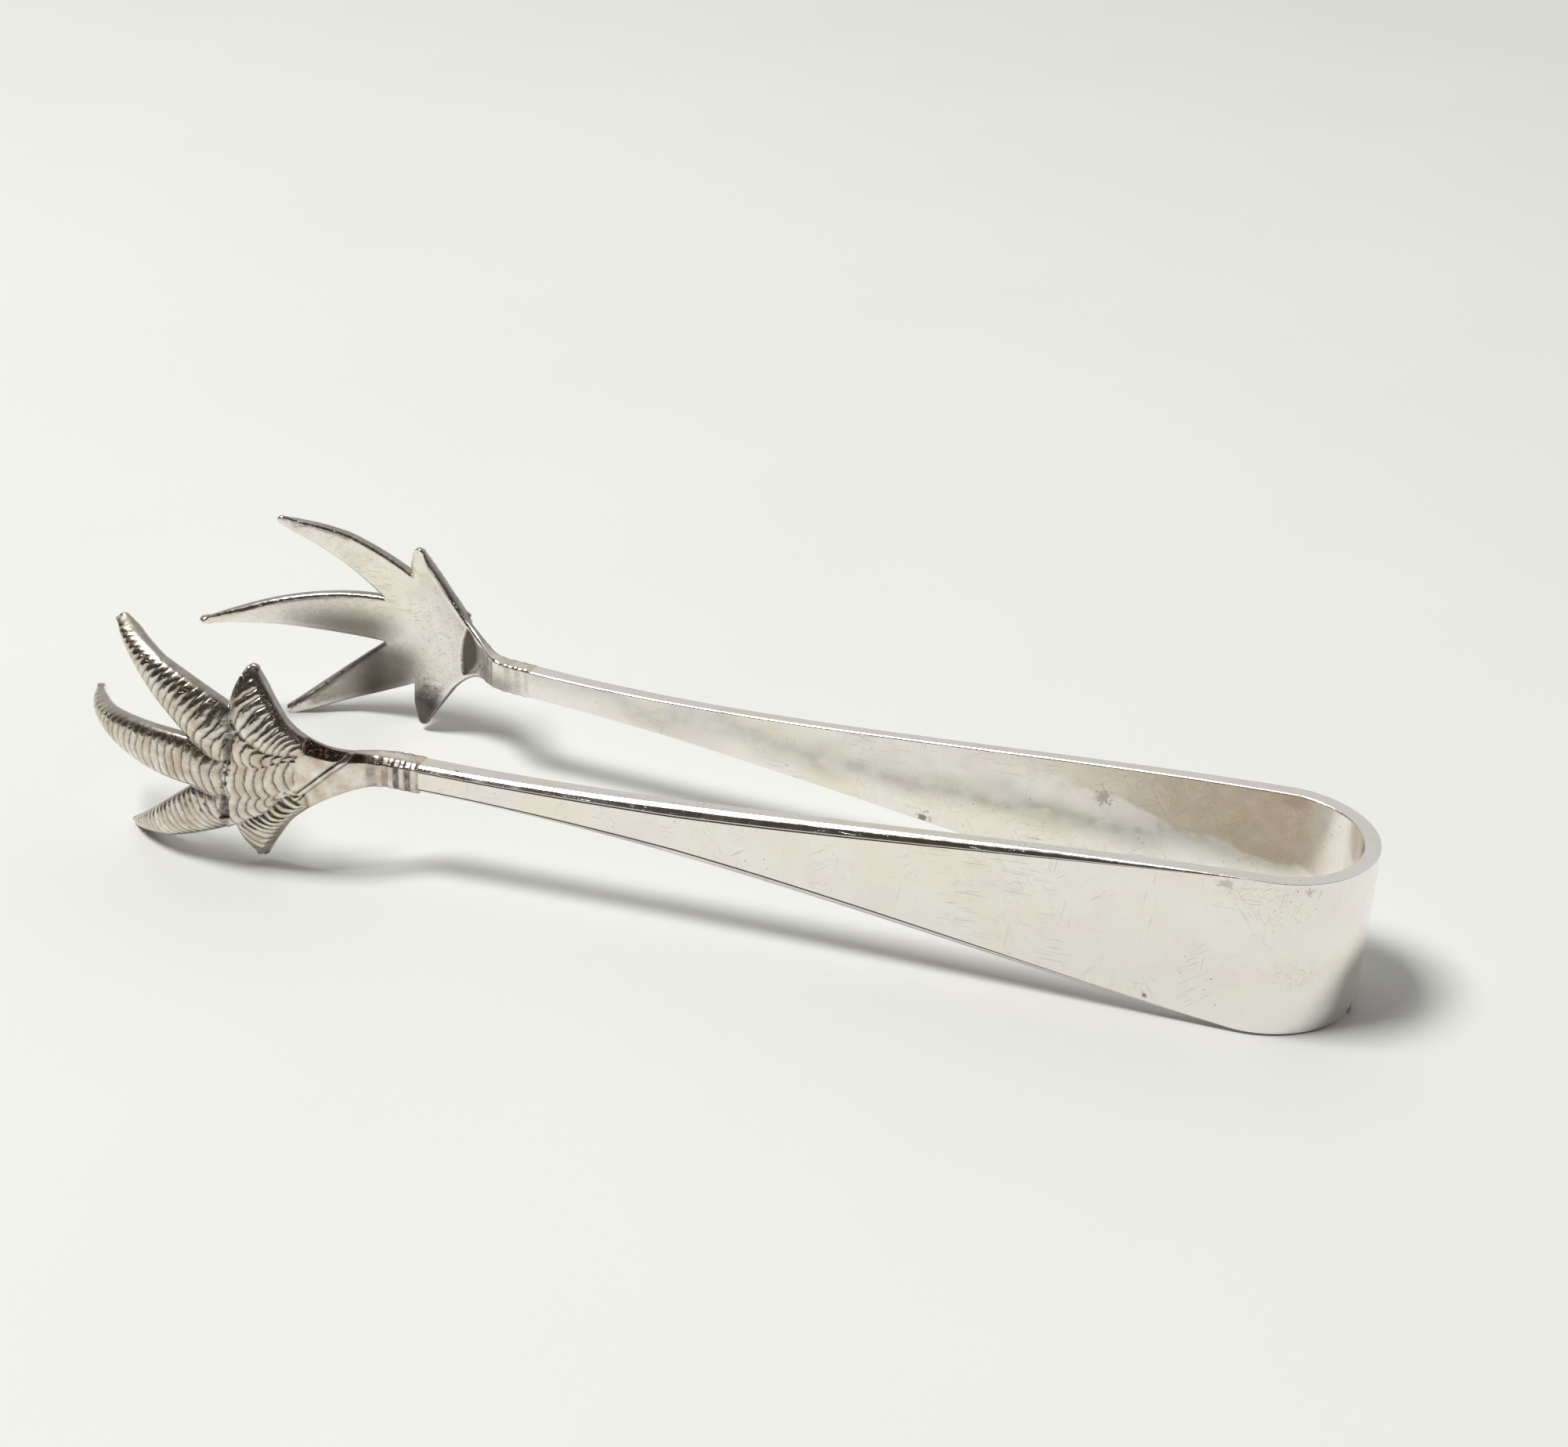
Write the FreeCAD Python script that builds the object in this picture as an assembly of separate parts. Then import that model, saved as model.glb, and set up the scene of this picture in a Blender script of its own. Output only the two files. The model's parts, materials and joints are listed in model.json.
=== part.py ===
"""Sprung silver ice tongs with claw ends.

One strip of silver is bent into a U. Its two arms taper to narrow necks, and each neck carries
a struck claw: a dished palm with three long toes and two short spurs.

Design frame, in millimetres: X runs from the toes to the bow and is 0 at the bow's outermost
point, Y runs across the tongs from the near arm to the far arm, and Z is 0 on the strip's middle
line. Every piece is drawn there for the far side, mirrored for the near side, and at the end all
pieces are tipped together so that the bow and the lower toes stand on the plane Z = 0.
"""
import FreeCAD
import Part
import os
from math import atan, atan2, cos, degrees, radians, sin, tan

Vector = FreeCAD.Vector

# Driving dimensions of the strip
strip_width = 19.1          # height of the strip where it stands on its edge, at the bow
neck_width = 3.7            # the same at the narrow neck, next to the claw
bow_thickness = 1.85
neck_thickness = 2.8
bow_radius = 11.7           # outside of the U
arm_run = 100.0             # from the end of the U to the neck, along X
neck_offset = 16.15         # outer face of the neck from the middle plane
bow_splay = 2.4             # degrees that each arm opens outward as it leaves the U
neck_splay = 4.1            # the same at the neck
taper_start = -0.1235       # slope of the width where the taper begins
bevel_depth = 0.83          # largest bevel of the outer long edges, into the thickness
bevel_height = 1.0          # the same, down the width
bevel_least = 0.03          # share of the full bevel that is left at the bow
bevel_growth = 3.88         # how fast the share grows along the arm, before it is full
bevel_most_of_half = 0.3    # the bevel takes no more than this share of half the width
flex_run = 15.0             # from the end of the U to the line where an arm flexes
flex_spans = 3              # lofted spans of the strip up to that line
arm_spans = 8               # the same from there to the neck
hinge_gap = 0.05            # between the faces that part as an arm flexes

# Driving dimensions of the claw
neck_bend_radius = 6.0      # the neck turns outward into the palm
palm_angle = 39.0           # degrees from X, where the palm leaves the neck bend
palm_radius = 29.5          # long curve of the palm and the roots of the toes
curl_angle = -26.0          # degrees from X, where the toes begin to curl in more tightly
curl_radius = 21.0          # curve of the toes' ends
toe_tip_angle = -67.0       # degrees from X at the middle toe's tip
neck_bend_steps = 3         # lofted steps of the neck bend
palm_steps = 7
curl_steps = 4
shank_run = 4.0             # straight stretch with the collar, before the neck bend
palm_thickness = 1.7
toe_tip_thickness = 1.5
sheet_half_height = 17.0    # the struck sheet before its outline is cut
least_curve = 0.001         # cross curve of the flat shank, so that every section is an arc
ring_count = 4
ring_first = 0.3            # from the neck to the first ring
ring_length = 0.8
ring_pitch = 1.5
ring_proud = 0.15

# Depth of the cross curve per square millimetre of height, at angles from X along the palm
cross_curves = [(12.0, 0.0195), (8.0, 0.016), (-11.5, 0.0078), (-29.0, 0.012)]

# Outline of the upper half of the claw, X and Z, from the neck round to the middle toe
spur_heel = (-121.0, 3.1)
spur_back = (-126.2, 6.9)
spur_tip_back = (-130.0, 12.3)
spur_tip = (-130.9, 12.9)
spur_tip_front = (-131.6, 12.4)
spur_front = (-132.5, 10.2)
notch_spur_toe = (-132.9, 8.0)
toe_top = (-142.1, 11.9)
toe_tip_top = (-150.6, 14.6)
toe_tip = (-151.2, 14.3)
toe_tip_bottom = (-151.2, 13.6)
toe_bottom = (-145.6, 9.1)
notch_toes = (-138.2, 3.3)
middle_toe_side = (-149.0, 2.5)
middle_toe_tip = (-159.3, 0.7)
middle_toe_end = -159.9

straight_end_x = -bow_radius + bow_radius * sin(radians(bow_splay))
straight_end_y = bow_radius * cos(radians(bow_splay))


def smooth_step_cubic(start, start_slope, end, end_slope, run, distance):
    """Cubic from start to end over run, with the given slopes at its two ends."""
    part = distance / run
    square = part * part
    cube = square * part
    return (start * (2 * cube - 3 * square + 1)
            + start_slope * run * (cube - 2 * square + part)
            + end * (3 * square - 2 * cube)
            + end_slope * run * (cube - square))


def outer_offset(distance):
    """Outer face of the arm from the middle plane, at a distance from the end of the U."""
    return smooth_step_cubic(straight_end_y, tan(radians(bow_splay)),
                             neck_offset, tan(radians(neck_splay)), arm_run, distance)


def splay_at(distance):
    """Angle of the arm from the X axis, in radians."""
    step = 0.01
    return atan((outer_offset(distance + step) - outer_offset(distance - step)) / (2 * step))


def width_at(distance):
    return smooth_step_cubic(strip_width, taper_start, neck_width, 0.0, arm_run, distance)


def thickness_at(distance):
    return bow_thickness + (neck_thickness - bow_thickness) * distance / arm_run


def bevel_share(distance):
    """Bevel as a share of its largest size: small at the bow, full past the middle."""
    part = distance / (arm_run + 2 * flex_run)
    return min(1.0, bevel_least + bevel_growth * part * (1 - part))


def strip_section(distance):
    """Closed outline of the strip, square to the arm, with both outer long edges bevelled."""
    angle = splay_at(distance)
    base_x = straight_end_x - distance
    base_y = outer_offset(distance)
    half = width_at(distance) / 2
    thickness = thickness_at(distance)
    share = bevel_share(distance)
    depth = bevel_depth * share
    drop = min(bevel_height * share, half * bevel_most_of_half)
    corners = [(0, -half + drop), (0, half - drop), (depth, half),
               (thickness, half), (thickness, -half), (depth, -half)]
    points = [Vector(base_x - inward * sin(angle), base_y - inward * cos(angle), height)
              for inward, height in corners]
    return Part.makePolygon(points + points[:1])


def strip_length(start, end, spans):
    """Solid of the far arm's strip between two distances from the end of the U."""
    sections = [strip_section(start + (end - start) * i / spans) for i in range(spans + 1)]
    return Part.makeLoft(sections, True, False)


def mirrored(shape):
    return shape.mirror(Vector(0, 0, 0), Vector(0, 1, 0))


def bow():
    """U of the strip, with the short lengths of both arms up to the lines where they flex."""
    ring = Part.makeCylinder(bow_radius, strip_width)
    ring = ring.cut(Part.makeCylinder(bow_radius - bow_thickness, strip_width))
    half_turn = 90.0 - bow_splay
    reach = 2 * bow_radius
    edge_far = Vector(reach * cos(radians(half_turn)), reach * sin(radians(half_turn)), 0)
    edge_near = Vector(edge_far.x, -edge_far.y, 0)
    sector = Part.Face(Part.makePolygon([Vector(0, 0, 0), edge_near, Vector(reach, -edge_far.y, 0),
                                         Vector(reach, edge_far.y, 0), edge_far, Vector(0, 0, 0)]))
    ring = ring.common(sector.extrude(Vector(0, 0, strip_width)))
    ring.translate(Vector(-bow_radius, 0, -strip_width / 2))
    leg = strip_length(0.0, flex_run, flex_spans)
    return ring.fuse([leg, mirrored(leg)]).removeSplitter()


def cross_curve_at(angle):
    """Depth of the cross curve per square millimetre of height, at an angle from X in degrees."""
    first, last = cross_curves[0], cross_curves[-1]
    if angle >= first[0]:
        return first[1]
    for before, after in zip(cross_curves, cross_curves[1:]):
        if angle >= after[0]:
            share = (before[0] - angle) / (before[0] - after[0])
            return before[1] + (after[1] - before[1]) * share
    return last[1]


def turn_stations(start, radius, end_angle, end_thickness, steps, outward=False):
    """Stations of one arc of the claw's path, after start. The path turns inward, or outward."""
    x, y, begin, thickness = start[:4]
    end = radians(end_angle)
    side = -1 if outward else 1
    stations = []
    for i in range(1, steps + 1):
        share = i / steps
        angle = begin + (end - begin) * share
        curve = cross_curve_at(degrees(angle)) * (share if outward else 1)
        stations.append((x - side * radius * (sin(begin) - sin(angle)),
                         y + side * radius * (cos(angle) - cos(begin)),
                         angle, thickness + (end_thickness - thickness) * share, curve))
    return stations


def claw_path():
    """Stations along the claw's outer face: X, Y, angle from X, thickness and cross curve."""
    x, y = straight_end_x - arm_run, neck_offset
    angle = radians(neck_splay)
    stations = [(x, y, angle, neck_thickness, 0.0)]
    stations.append((x - shank_run * cos(angle), y + shank_run * sin(angle),
                     angle, neck_thickness, 0.0))
    stations += turn_stations(stations[-1], neck_bend_radius, palm_angle, palm_thickness,
                              neck_bend_steps, outward=True)
    stations += turn_stations(stations[-1], palm_radius, curl_angle, palm_thickness, palm_steps)
    stations += turn_stations(stations[-1], curl_radius, toe_tip_angle, toe_tip_thickness,
                              curl_steps)
    return stations


def sheet_section(station):
    """Closed outline of the struck sheet across one station: two parallel shallow arcs."""
    x, y, angle, thickness, curve = station
    sag = max(curve, least_curve) * sheet_half_height ** 2

    def place(inward, height):
        return Vector(x - inward * sin(angle), y - inward * cos(angle), height)

    def cross_arc(inward):
        return Part.Arc(place(inward + sag, -sheet_half_height), place(inward, 0),
                        place(inward + sag, sheet_half_height)).toShape()

    outer = cross_arc(0.0)
    inner = cross_arc(thickness)
    ends = [Part.makeLine(place(sag, side * sheet_half_height),
                          place(thickness + sag, side * sheet_half_height)) for side in (1, -1)]
    return Part.Wire(Part.__sortEdges__([outer, ends[0], inner, ends[1]]))


def claw_outline():
    """Face of the claw's outline, seen square to the palm, symmetric about Z = 0."""
    neck_x = straight_end_x - arm_run
    half_neck = neck_width / 2

    def point(pair, side):
        return Vector(pair[0], 0, pair[1] * side)

    edges = []
    for side in (1, -1):
        runs = [
            ("line", (neck_x, half_neck), (neck_x - shank_run, half_neck)),
            ("arc", (neck_x - shank_run, half_neck), spur_heel, spur_back),
            ("line", spur_back, spur_tip_back),
            ("arc", spur_tip_back, spur_tip, spur_tip_front),
            ("arc", spur_tip_front, spur_front, notch_spur_toe),
            ("arc", notch_spur_toe, toe_top, toe_tip_top),
            ("arc", toe_tip_top, toe_tip, toe_tip_bottom),
            ("arc", toe_tip_bottom, toe_bottom, notch_toes),
            ("arc", notch_toes, middle_toe_side, middle_toe_tip),
        ]
        for run in runs:
            ends = [point(pair, side) for pair in run[1:]]
            if run[0] == "line":
                edges.append(Part.makeLine(*ends))
            else:
                edges.append(Part.Arc(*ends).toShape())
    edges.append(Part.makeLine(Vector(neck_x, 0, half_neck), Vector(neck_x, 0, -half_neck)))
    edges.append(Part.Arc(point(middle_toe_tip, 1), Vector(middle_toe_end, 0, 0),
                          point(middle_toe_tip, -1)).toShape())
    return Part.Face(Part.Wire(Part.__sortEdges__(edges)))


def collar_ring(index):
    """One ring of the collar: a short square band a little proud of the shank all round."""
    angle = radians(neck_splay)
    along = ring_first + ring_pitch * index
    base_x = straight_end_x - arm_run - along * cos(angle)
    base_y = neck_offset + along * sin(angle)
    deep = neck_thickness + 2 * ring_proud
    high = neck_width + 2 * ring_proud
    ring = Part.makeBox(ring_length, deep, high, Vector(-ring_length, -deep + ring_proud, -high / 2))
    ring.rotate(Vector(0, 0, 0), Vector(0, 0, 1), -neck_splay)
    ring.translate(Vector(base_x, base_y, 0))
    return ring


def claw():
    """Struck claw of the far arm: collar, shank, dished palm, three toes and two spurs."""
    sheet = Part.makeLoft([sheet_section(station) for station in claw_path()], True, False)
    outline = claw_outline()
    deep = 2 * palm_radius
    outline.translate(Vector(0, -deep / 2, 0))
    plate = sheet.common(outline.extrude(Vector(0, 2 * deep, 0)))
    rings = [collar_ring(index) for index in range(ring_count)]
    return plate.fuse(rings).removeSplitter()


def stand_on_plane(shapes):
    """Tip every shape about Y until bow and toes touch one plane, and centre them on the origin."""
    rest = shapes["bow_spring"].optimalBoundingBox()
    toes = shapes["far_claw"].optimalBoundingBox()
    pitch = atan2(rest.ZMin - toes.ZMin, -toe_tip_top[0])
    for shape in shapes.values():
        shape.rotate(Vector(0, 0, 0), Vector(0, 1, 0), degrees(pitch))
    boxes = [shape.optimalBoundingBox() for shape in shapes.values()]
    low_x = min(box.XMin for box in boxes)
    high_x = max(box.XMax for box in boxes)
    low_z = min(box.ZMin for box in boxes)
    shift = Vector(-(low_x + high_x) / 2, 0, -low_z)
    for shape in shapes.values():
        shape.translate(shift)
    return pitch, shift


far_arm = strip_length(flex_run + hinge_gap, arm_run, arm_spans)
far_claw = claw()
shapes = {
    "bow_spring": bow(),
    "far_arm": far_arm,
    "near_arm": mirrored(far_arm),
    "far_claw": far_claw,
    "near_claw": mirrored(far_claw),
}
pitch, shift = stand_on_plane(shapes)

os.makedirs("parts", exist_ok=True)
for name, shape in shapes.items():
    shape.exportStep("parts/" + name + ".step")
    box = shape.optimalBoundingBox()
    print(name, shape.isValid(), len(shape.Solids), round(shape.Volume, 1),
          [round(v, 2) for v in (box.XMin, box.XMax, box.YMin, box.YMax, box.ZMin, box.ZMax)])
print("pitch", round(degrees(pitch), 4), "shift", shift)
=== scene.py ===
"""Looks of the sprung silver ice tongs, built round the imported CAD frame.

Every piece is drawn in the part's design frame, in millimetres: X runs from the toes to the bow and is
0 at the bow's outermost point, Y runs from the near arm to the far arm, and Z is 0 on the strip's middle
line. add_piece() then tips and shifts it into the row frame, in metres. The pitch comes from the axis of
the flex joint and the shift from the box of the bow. Near pieces are the far ones mirrored.
"""
import json
from math import atan2, cos, pi, radians, sin, tan, tau

import bpy
import numpy as np
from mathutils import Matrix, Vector
from mathutils.geometry import delaunay_2d_cdt


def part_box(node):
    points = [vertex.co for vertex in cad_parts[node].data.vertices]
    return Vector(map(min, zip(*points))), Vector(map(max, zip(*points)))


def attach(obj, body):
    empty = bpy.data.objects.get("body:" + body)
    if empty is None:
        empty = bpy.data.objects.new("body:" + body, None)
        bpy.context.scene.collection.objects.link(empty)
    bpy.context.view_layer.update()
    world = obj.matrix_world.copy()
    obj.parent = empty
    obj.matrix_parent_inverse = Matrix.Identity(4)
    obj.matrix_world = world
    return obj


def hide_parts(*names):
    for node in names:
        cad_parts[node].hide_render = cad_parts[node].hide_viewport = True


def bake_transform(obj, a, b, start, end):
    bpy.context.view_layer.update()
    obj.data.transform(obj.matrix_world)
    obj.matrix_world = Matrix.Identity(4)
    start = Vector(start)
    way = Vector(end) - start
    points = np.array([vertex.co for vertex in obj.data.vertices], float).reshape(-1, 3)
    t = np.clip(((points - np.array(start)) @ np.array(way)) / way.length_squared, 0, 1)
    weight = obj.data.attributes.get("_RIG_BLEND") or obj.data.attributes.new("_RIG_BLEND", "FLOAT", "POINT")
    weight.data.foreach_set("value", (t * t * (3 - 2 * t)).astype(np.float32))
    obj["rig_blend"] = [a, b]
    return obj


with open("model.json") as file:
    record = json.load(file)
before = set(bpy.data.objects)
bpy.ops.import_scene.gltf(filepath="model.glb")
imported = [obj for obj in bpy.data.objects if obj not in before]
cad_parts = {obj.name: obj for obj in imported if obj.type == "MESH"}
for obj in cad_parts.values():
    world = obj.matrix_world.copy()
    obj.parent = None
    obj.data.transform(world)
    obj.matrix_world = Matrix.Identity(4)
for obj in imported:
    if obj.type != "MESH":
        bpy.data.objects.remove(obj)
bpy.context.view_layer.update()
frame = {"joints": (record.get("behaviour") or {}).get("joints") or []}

# Strip, as in the CAD part
STRIP_WIDTH = 19.1
NECK_WIDTH = 3.7
BOW_THICKNESS = 1.85
NECK_THICKNESS = 2.8
BOW_RADIUS = 11.7
ARM_RUN = 100.0
NECK_OFFSET = 16.15
BOW_SPLAY = radians(2.4)
NECK_SPLAY = radians(4.1)
TAPER_START = -0.1235
FLEX_RUN = 15.0             # from the end of the U to the hinge
BLEND_CLEARANCE = 0.1       # the bend stops this far short of the arm's end
BEVEL_DEPTH = 0.83
BEVEL_HEIGHT = 1.0
BEVEL_LEAST = 0.03
BEVEL_GROWTH = 3.88
BEVEL_MOST_OF_HALF = 0.3

# Finer shape of the strip's edges
THREAD_DEPTH = 0.08         # fine cut line along the lower border of the bevel
THREAD_WIDTH = 0.3
INNER_CHAMFER = 0.16        # worn inner long edges
EDGE_ROUNDING = 0.09
ROUNDING_STEPS = 4
ROUNDING_MOST = 0.3         # of the shorter side at a corner
SUPPORT_REACH = 1.4         # support points sit this many roundings away from the corner
BEVEL_BREAK = (0.45, 0.42)  # the bevel's slight crest, as shares of its depth and height
STRIP_CORNERS = 7           # corners of half the strip's outline
CUT_CORNER = 1              # the one at the bottom of the cut line
STATION_STEP = 0.8          # between the strip's sections
SEAM_STEP = 0.02            # first and last sections sit this close to a seam, so shading runs on
SLOPE_STEP = 0.01
BOW_STEPS = 110

# Claw, as in the CAD part
SHANK_RUN = 4.0
NECK_BEND_RADIUS = 6.0
PALM_ANGLE = radians(39.0)
PALM_THICKNESS = 1.7
PALM_RADIUS = 29.5
CURL_ANGLE = radians(-26.0)
CURL_RADIUS = 21.0
TOE_TIP_ANGLE = radians(-67.0)
TOE_TIP_THICKNESS = 1.5
CROSS_CURVES = [(12.0, 0.0195), (8.0, 0.016), (-11.5, 0.0078), (-29.0, 0.012)]
RING_COUNT = 4
RING_FIRST = 0.3
RING_LENGTH = 0.8
RING_PITCH = 1.5
RING_PROUD = 0.13
INNER_RING_PROUD = 0.1      # on the inner side
SPINE_STEPS = 300           # stations round each arc of the claw's path

# Outline of the upper half of the claw, X and Z
SPUR_HEEL = (-121.0, 3.1)
SPUR_BACK = (-126.2, 6.9)
SPUR_TIP_BACK = (-130.0, 12.3)
SPUR_TIP = (-130.9, 12.9)
SPUR_TIP_FRONT = (-131.6, 12.4)
SPUR_FRONT = (-132.5, 10.2)
NOTCH_SPUR_TOE = (-132.9, 8.0)
TOE_TOP = (-142.1, 11.9)
TOE_TIP_TOP = (-150.6, 14.6)
TOE_TIP = (-151.2, 14.3)
TOE_TIP_BOTTOM = (-151.2, 13.6)
TOE_BOTTOM = (-145.6, 9.1)
NOTCH_TOES = (-138.2, 3.3)
MIDDLE_TOE_SIDE = (-149.0, 2.5)
MIDDLE_TOE_TIP = (-159.3, 0.5)      # finer than in the CAD part, as a worn point
MIDDLE_TOE_END = -159.9

# Struck relief on the outer side of the claw
OUTLINE_STEP = 0.13
RELIEF_STEP = 0.125         # between the points of the outer side
INNER_STEP = 0.26           # the same on the plain inner side
SPUR_RIM = 0.95             # plain rim along the rear of a spur
PRONG_VALLEY = 0.5          # tarnish left along the edges of a prong's scales
EDGE_ROUND_WIDE = 1.0       # the struck side rounds down to the rim
EDGE_ROUND_DEEP = 0.34
INNER_ROUND_WIDE = 0.8      # and the inner side up to it
INNER_ROUND_DEEP = 0.34
LOWER_FACET = 0.4           # the shank's lower facet is this much of the upper one
TIP_REACH = 3.5             # the prongs grow thinner over this length at their tips
TIP_THINNING = 0.9
RIM_BULGE = 0.1
RIM_RINGS = 4
RIM_TARNISH = 0.6
NECK_END = 0.001            # the claw's flat end face is at this length or less
KNUCKLE_X = -133.1          # middle of the joint line across the palm, where Z is 0
KNUCKLE_LEAN = 0.1          # the joint line leans this much along X per height
KNUCKLE_HALF = 0.52
SCALES_END = -125.0         # the scales stop here and the plain shank begins
BAND_EDGE = 2.3             # the palm's middle band reaches this far from its middle line
PALM_DIP = 1.25             # that line dips this far below Z = 0 across the palm
DIP_TOE_SIDE = (-138.4, -134.5)     # the dip grows from the first X to the second
DIP_SHANK_SIDE = (-125.5, -129.5)
DIP_HEIGHT = (8.5, 5.5)
PHASE_RIPPLES = [(0.09, 3.1, 2.0), (0.05, 1.1, 5.0)]    # unevenness: share, length, seed
GROOVE_WIDTH = 0.12         # this and the next two are shares of one scale's length
LIP_PLACE = 0.84
LIP_WIDTH = 0.08
LIP_HEIGHT = 0.28           # share of a scale's height
# Border between the scales of the palm and those of a spur, X and Z
SPUR_INNER = [(-124.6, 2.6), (-126.1, 2.6), (-127.7, 3.4), (-129.6, 4.7), (-131.0, 5.7)]
KNUCKLE_SINK = 0.34         # depth of the joint line's plates
STEP_X = -123.9             # fine line where the scales step down to the shank
FACET_RUN = [112, 118, 125.5]       # the shank's facets: distance along -X, width and depth
FACET_WIDE = [0.55, 0.75, 1.75]
FACET_DEEP = [0.6, 0.7, 0.85]
SEAM_ROUTE = [(-125.2, -3.1), (-121.4, 0.45), (-118.4, 3.0)]
SCOOP_DEPTH = 0.32

# Painted dark reflections on the inner side: strength, and the X or Z that each fade starts and ends at
INNER_DARK_REFLECTIONS = [
    (0.95, [("z", -1.2, -5.5), ("x", -152, -139), ("x", -129, -136)]),      # lower toe
    (0.95, [("z", -6.8, -10.0), ("x", -134.0, -132.8)]),                    # lower spur
    (0.84, [("z", 2.8, -1.6), ("z", -4.6, -3.0),
            ("x", -156, -145), ("x", -133, -141)]),                         # middle toe
    (0.6, [("x", -120.5, -118.0), ("x", -111.5, -116), ("z", 1.2, -1.2)]),  # neck
]

STRAIGHT_END_X = -BOW_RADIUS + BOW_RADIUS * sin(BOW_SPLAY)
STRAIGHT_END_Y = BOW_RADIUS * cos(BOW_SPLAY)
NECK_X = STRAIGHT_END_X - ARM_RUN

flex_axis = Vector(frame["joints"][0]["axis"])
PITCH = atan2(flex_axis.x, flex_axis.z)
SHIFT_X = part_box("bow_spring")[1].x * 1000 - STRIP_WIDTH / 2 * sin(PITCH)
SHIFT_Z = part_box("bow_spring")[0].z * 1000 + STRIP_WIDTH / 2 * cos(PITCH)


def to_row_frame(points):
    """Design frame in millimetres to the row frame in metres."""
    x, y, z = points[:, 0], points[:, 1], points[:, 2]
    tipped = np.stack([x * cos(PITCH) + z * sin(PITCH) + SHIFT_X,
                       y,
                       -x * sin(PITCH) + z * cos(PITCH) + SHIFT_Z], axis=1)
    return tipped / 1000


def hermite(start, start_slope, end, end_slope, run, distance):
    """Cubic from start to end over run, with the given slopes at its two ends."""
    part = distance / run
    square = part * part
    cube = square * part
    return (start * (2 * cube - 3 * square + 1)
            + start_slope * run * (cube - 2 * square + part)
            + end * (3 * square - 2 * cube)
            + end_slope * run * (cube - square))


def smooth_step(low, high, value):
    """0 at low and 1 at high, with no kink at either; low may be the greater of the two."""
    part = np.clip((value - low) / (high - low), 0, 1)
    return part * part * (3 - 2 * part)


def ripple(x, z, length, seed):
    """Smooth uneven pattern between about -1 and 1, with features of about the given length."""
    total = 0
    for i in range(1, 5):
        turn = seed * 1.7 + i * 2.4
        wave = tau / (length * (0.7 + 0.22 * i))
        total = total + np.sin(wave * (x * cos(turn) + z * sin(turn)) + seed * i * 1.3)
    return total / 2.6


# ---------------------------------------------------------------- meshes

def add_piece(name, points, faces, mirrored, attributes, material):
    """Mesh object in the row frame. Faces are lists of corners; attributes are floats per point."""
    placed = points.copy()
    if mirrored:
        placed[:, 1] *= -1
        faces = [tuple(reversed(face)) for face in faces]
    mesh = bpy.data.meshes.new(name)
    mesh.from_pydata(to_row_frame(placed).tolist(), [], faces)
    mesh.polygons.foreach_set("use_smooth", [True] * len(faces))
    place = mesh.attributes.new("place", "FLOAT_VECTOR", "POINT")
    place.data.foreach_set("vector", placed.astype(np.float32).ravel())
    for key, values in attributes.items():
        layer = mesh.attributes.new(key, "FLOAT", "POINT")
        layer.data.foreach_set("value", np.asarray(values, np.float32))
    mesh.materials.append(material)
    mesh.validate()
    piece = bpy.data.objects.new(name, mesh)
    bpy.context.scene.collection.objects.link(piece)
    return piece


def round_corners(corners, rounding):
    """Closed outline with each corner rounded, and a support point at each side of a corner."""
    points = []
    count = len(corners)
    for i, corner in enumerate(corners):
        before = corners[i - 1] - corner
        after = corners[(i + 1) % count] - corner
        short = min(np.linalg.norm(before), np.linalg.norm(after))
        before = before / np.linalg.norm(before)
        after = after / np.linalg.norm(after)
        reach = min(rounding, ROUNDING_MOST * short)
        points.append(corner + before * reach * SUPPORT_REACH)
        for step in range(ROUNDING_STEPS + 1):
            part = step / ROUNDING_STEPS
            points.append(corner + before * reach * (1 - part) ** 2 + after * reach * part ** 2)
        points.append(corner + after * reach * SUPPORT_REACH)
    return np.array(points)


def strip_outline(half, thickness, share):
    """Outline across the strip, as inward depth and height. share is how full the bevel is."""
    depth = BEVEL_DEPTH * share
    drop = min(BEVEL_HEIGHT * share, half * BEVEL_MOST_OF_HALF)
    cut = THREAD_WIDTH * share
    upper = [(0, half - drop - cut), (THREAD_DEPTH * share, half - drop - cut / 2),
             (0, half - drop), (depth * BEVEL_BREAK[0], half - drop * BEVEL_BREAK[1]), (depth, half),
             (thickness - INNER_CHAMFER, half), (thickness, half - INNER_CHAMFER)]
    lower = [(inward, -height) for inward, height in reversed(upper)]
    return round_corners(np.array(lower + upper), EDGE_ROUNDING)


def loft(stations):
    """Points and faces of a closed strip through stations: base, outward normal and outline."""
    rows = []
    for base, normal, outline in stations:
        row = np.zeros((len(outline), 3))
        row[:, 0] = base[0] - outline[:, 0] * normal[0]
        row[:, 1] = base[1] - outline[:, 0] * normal[1]
        row[:, 2] = outline[:, 1]
        rows.append(row)
    count = len(rows[0])
    faces = []
    for i in range(len(rows) - 1):
        for j in range(count):
            here, there = i * count + j, i * count + (j + 1) % count
            faces.append((here, there, there + count, here + count))
    last = (len(rows) - 1) * count
    faces.append(tuple(range(count - 1, -1, -1)))
    faces.append(tuple(range(last, last + count)))
    return np.concatenate(rows), faces


def mark_caps(piece):
    """The two end faces are flat, and the sides' shading stops at them."""
    mesh = piece.data
    caps = [mesh.polygons[-1], mesh.polygons[-2]]
    sharp = set()
    for cap in caps:
        cap.use_smooth = False
        sharp.update(cap.edge_keys)
    for edge in mesh.edges:
        if edge.key in sharp:
            edge.use_edge_sharp = True


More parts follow.
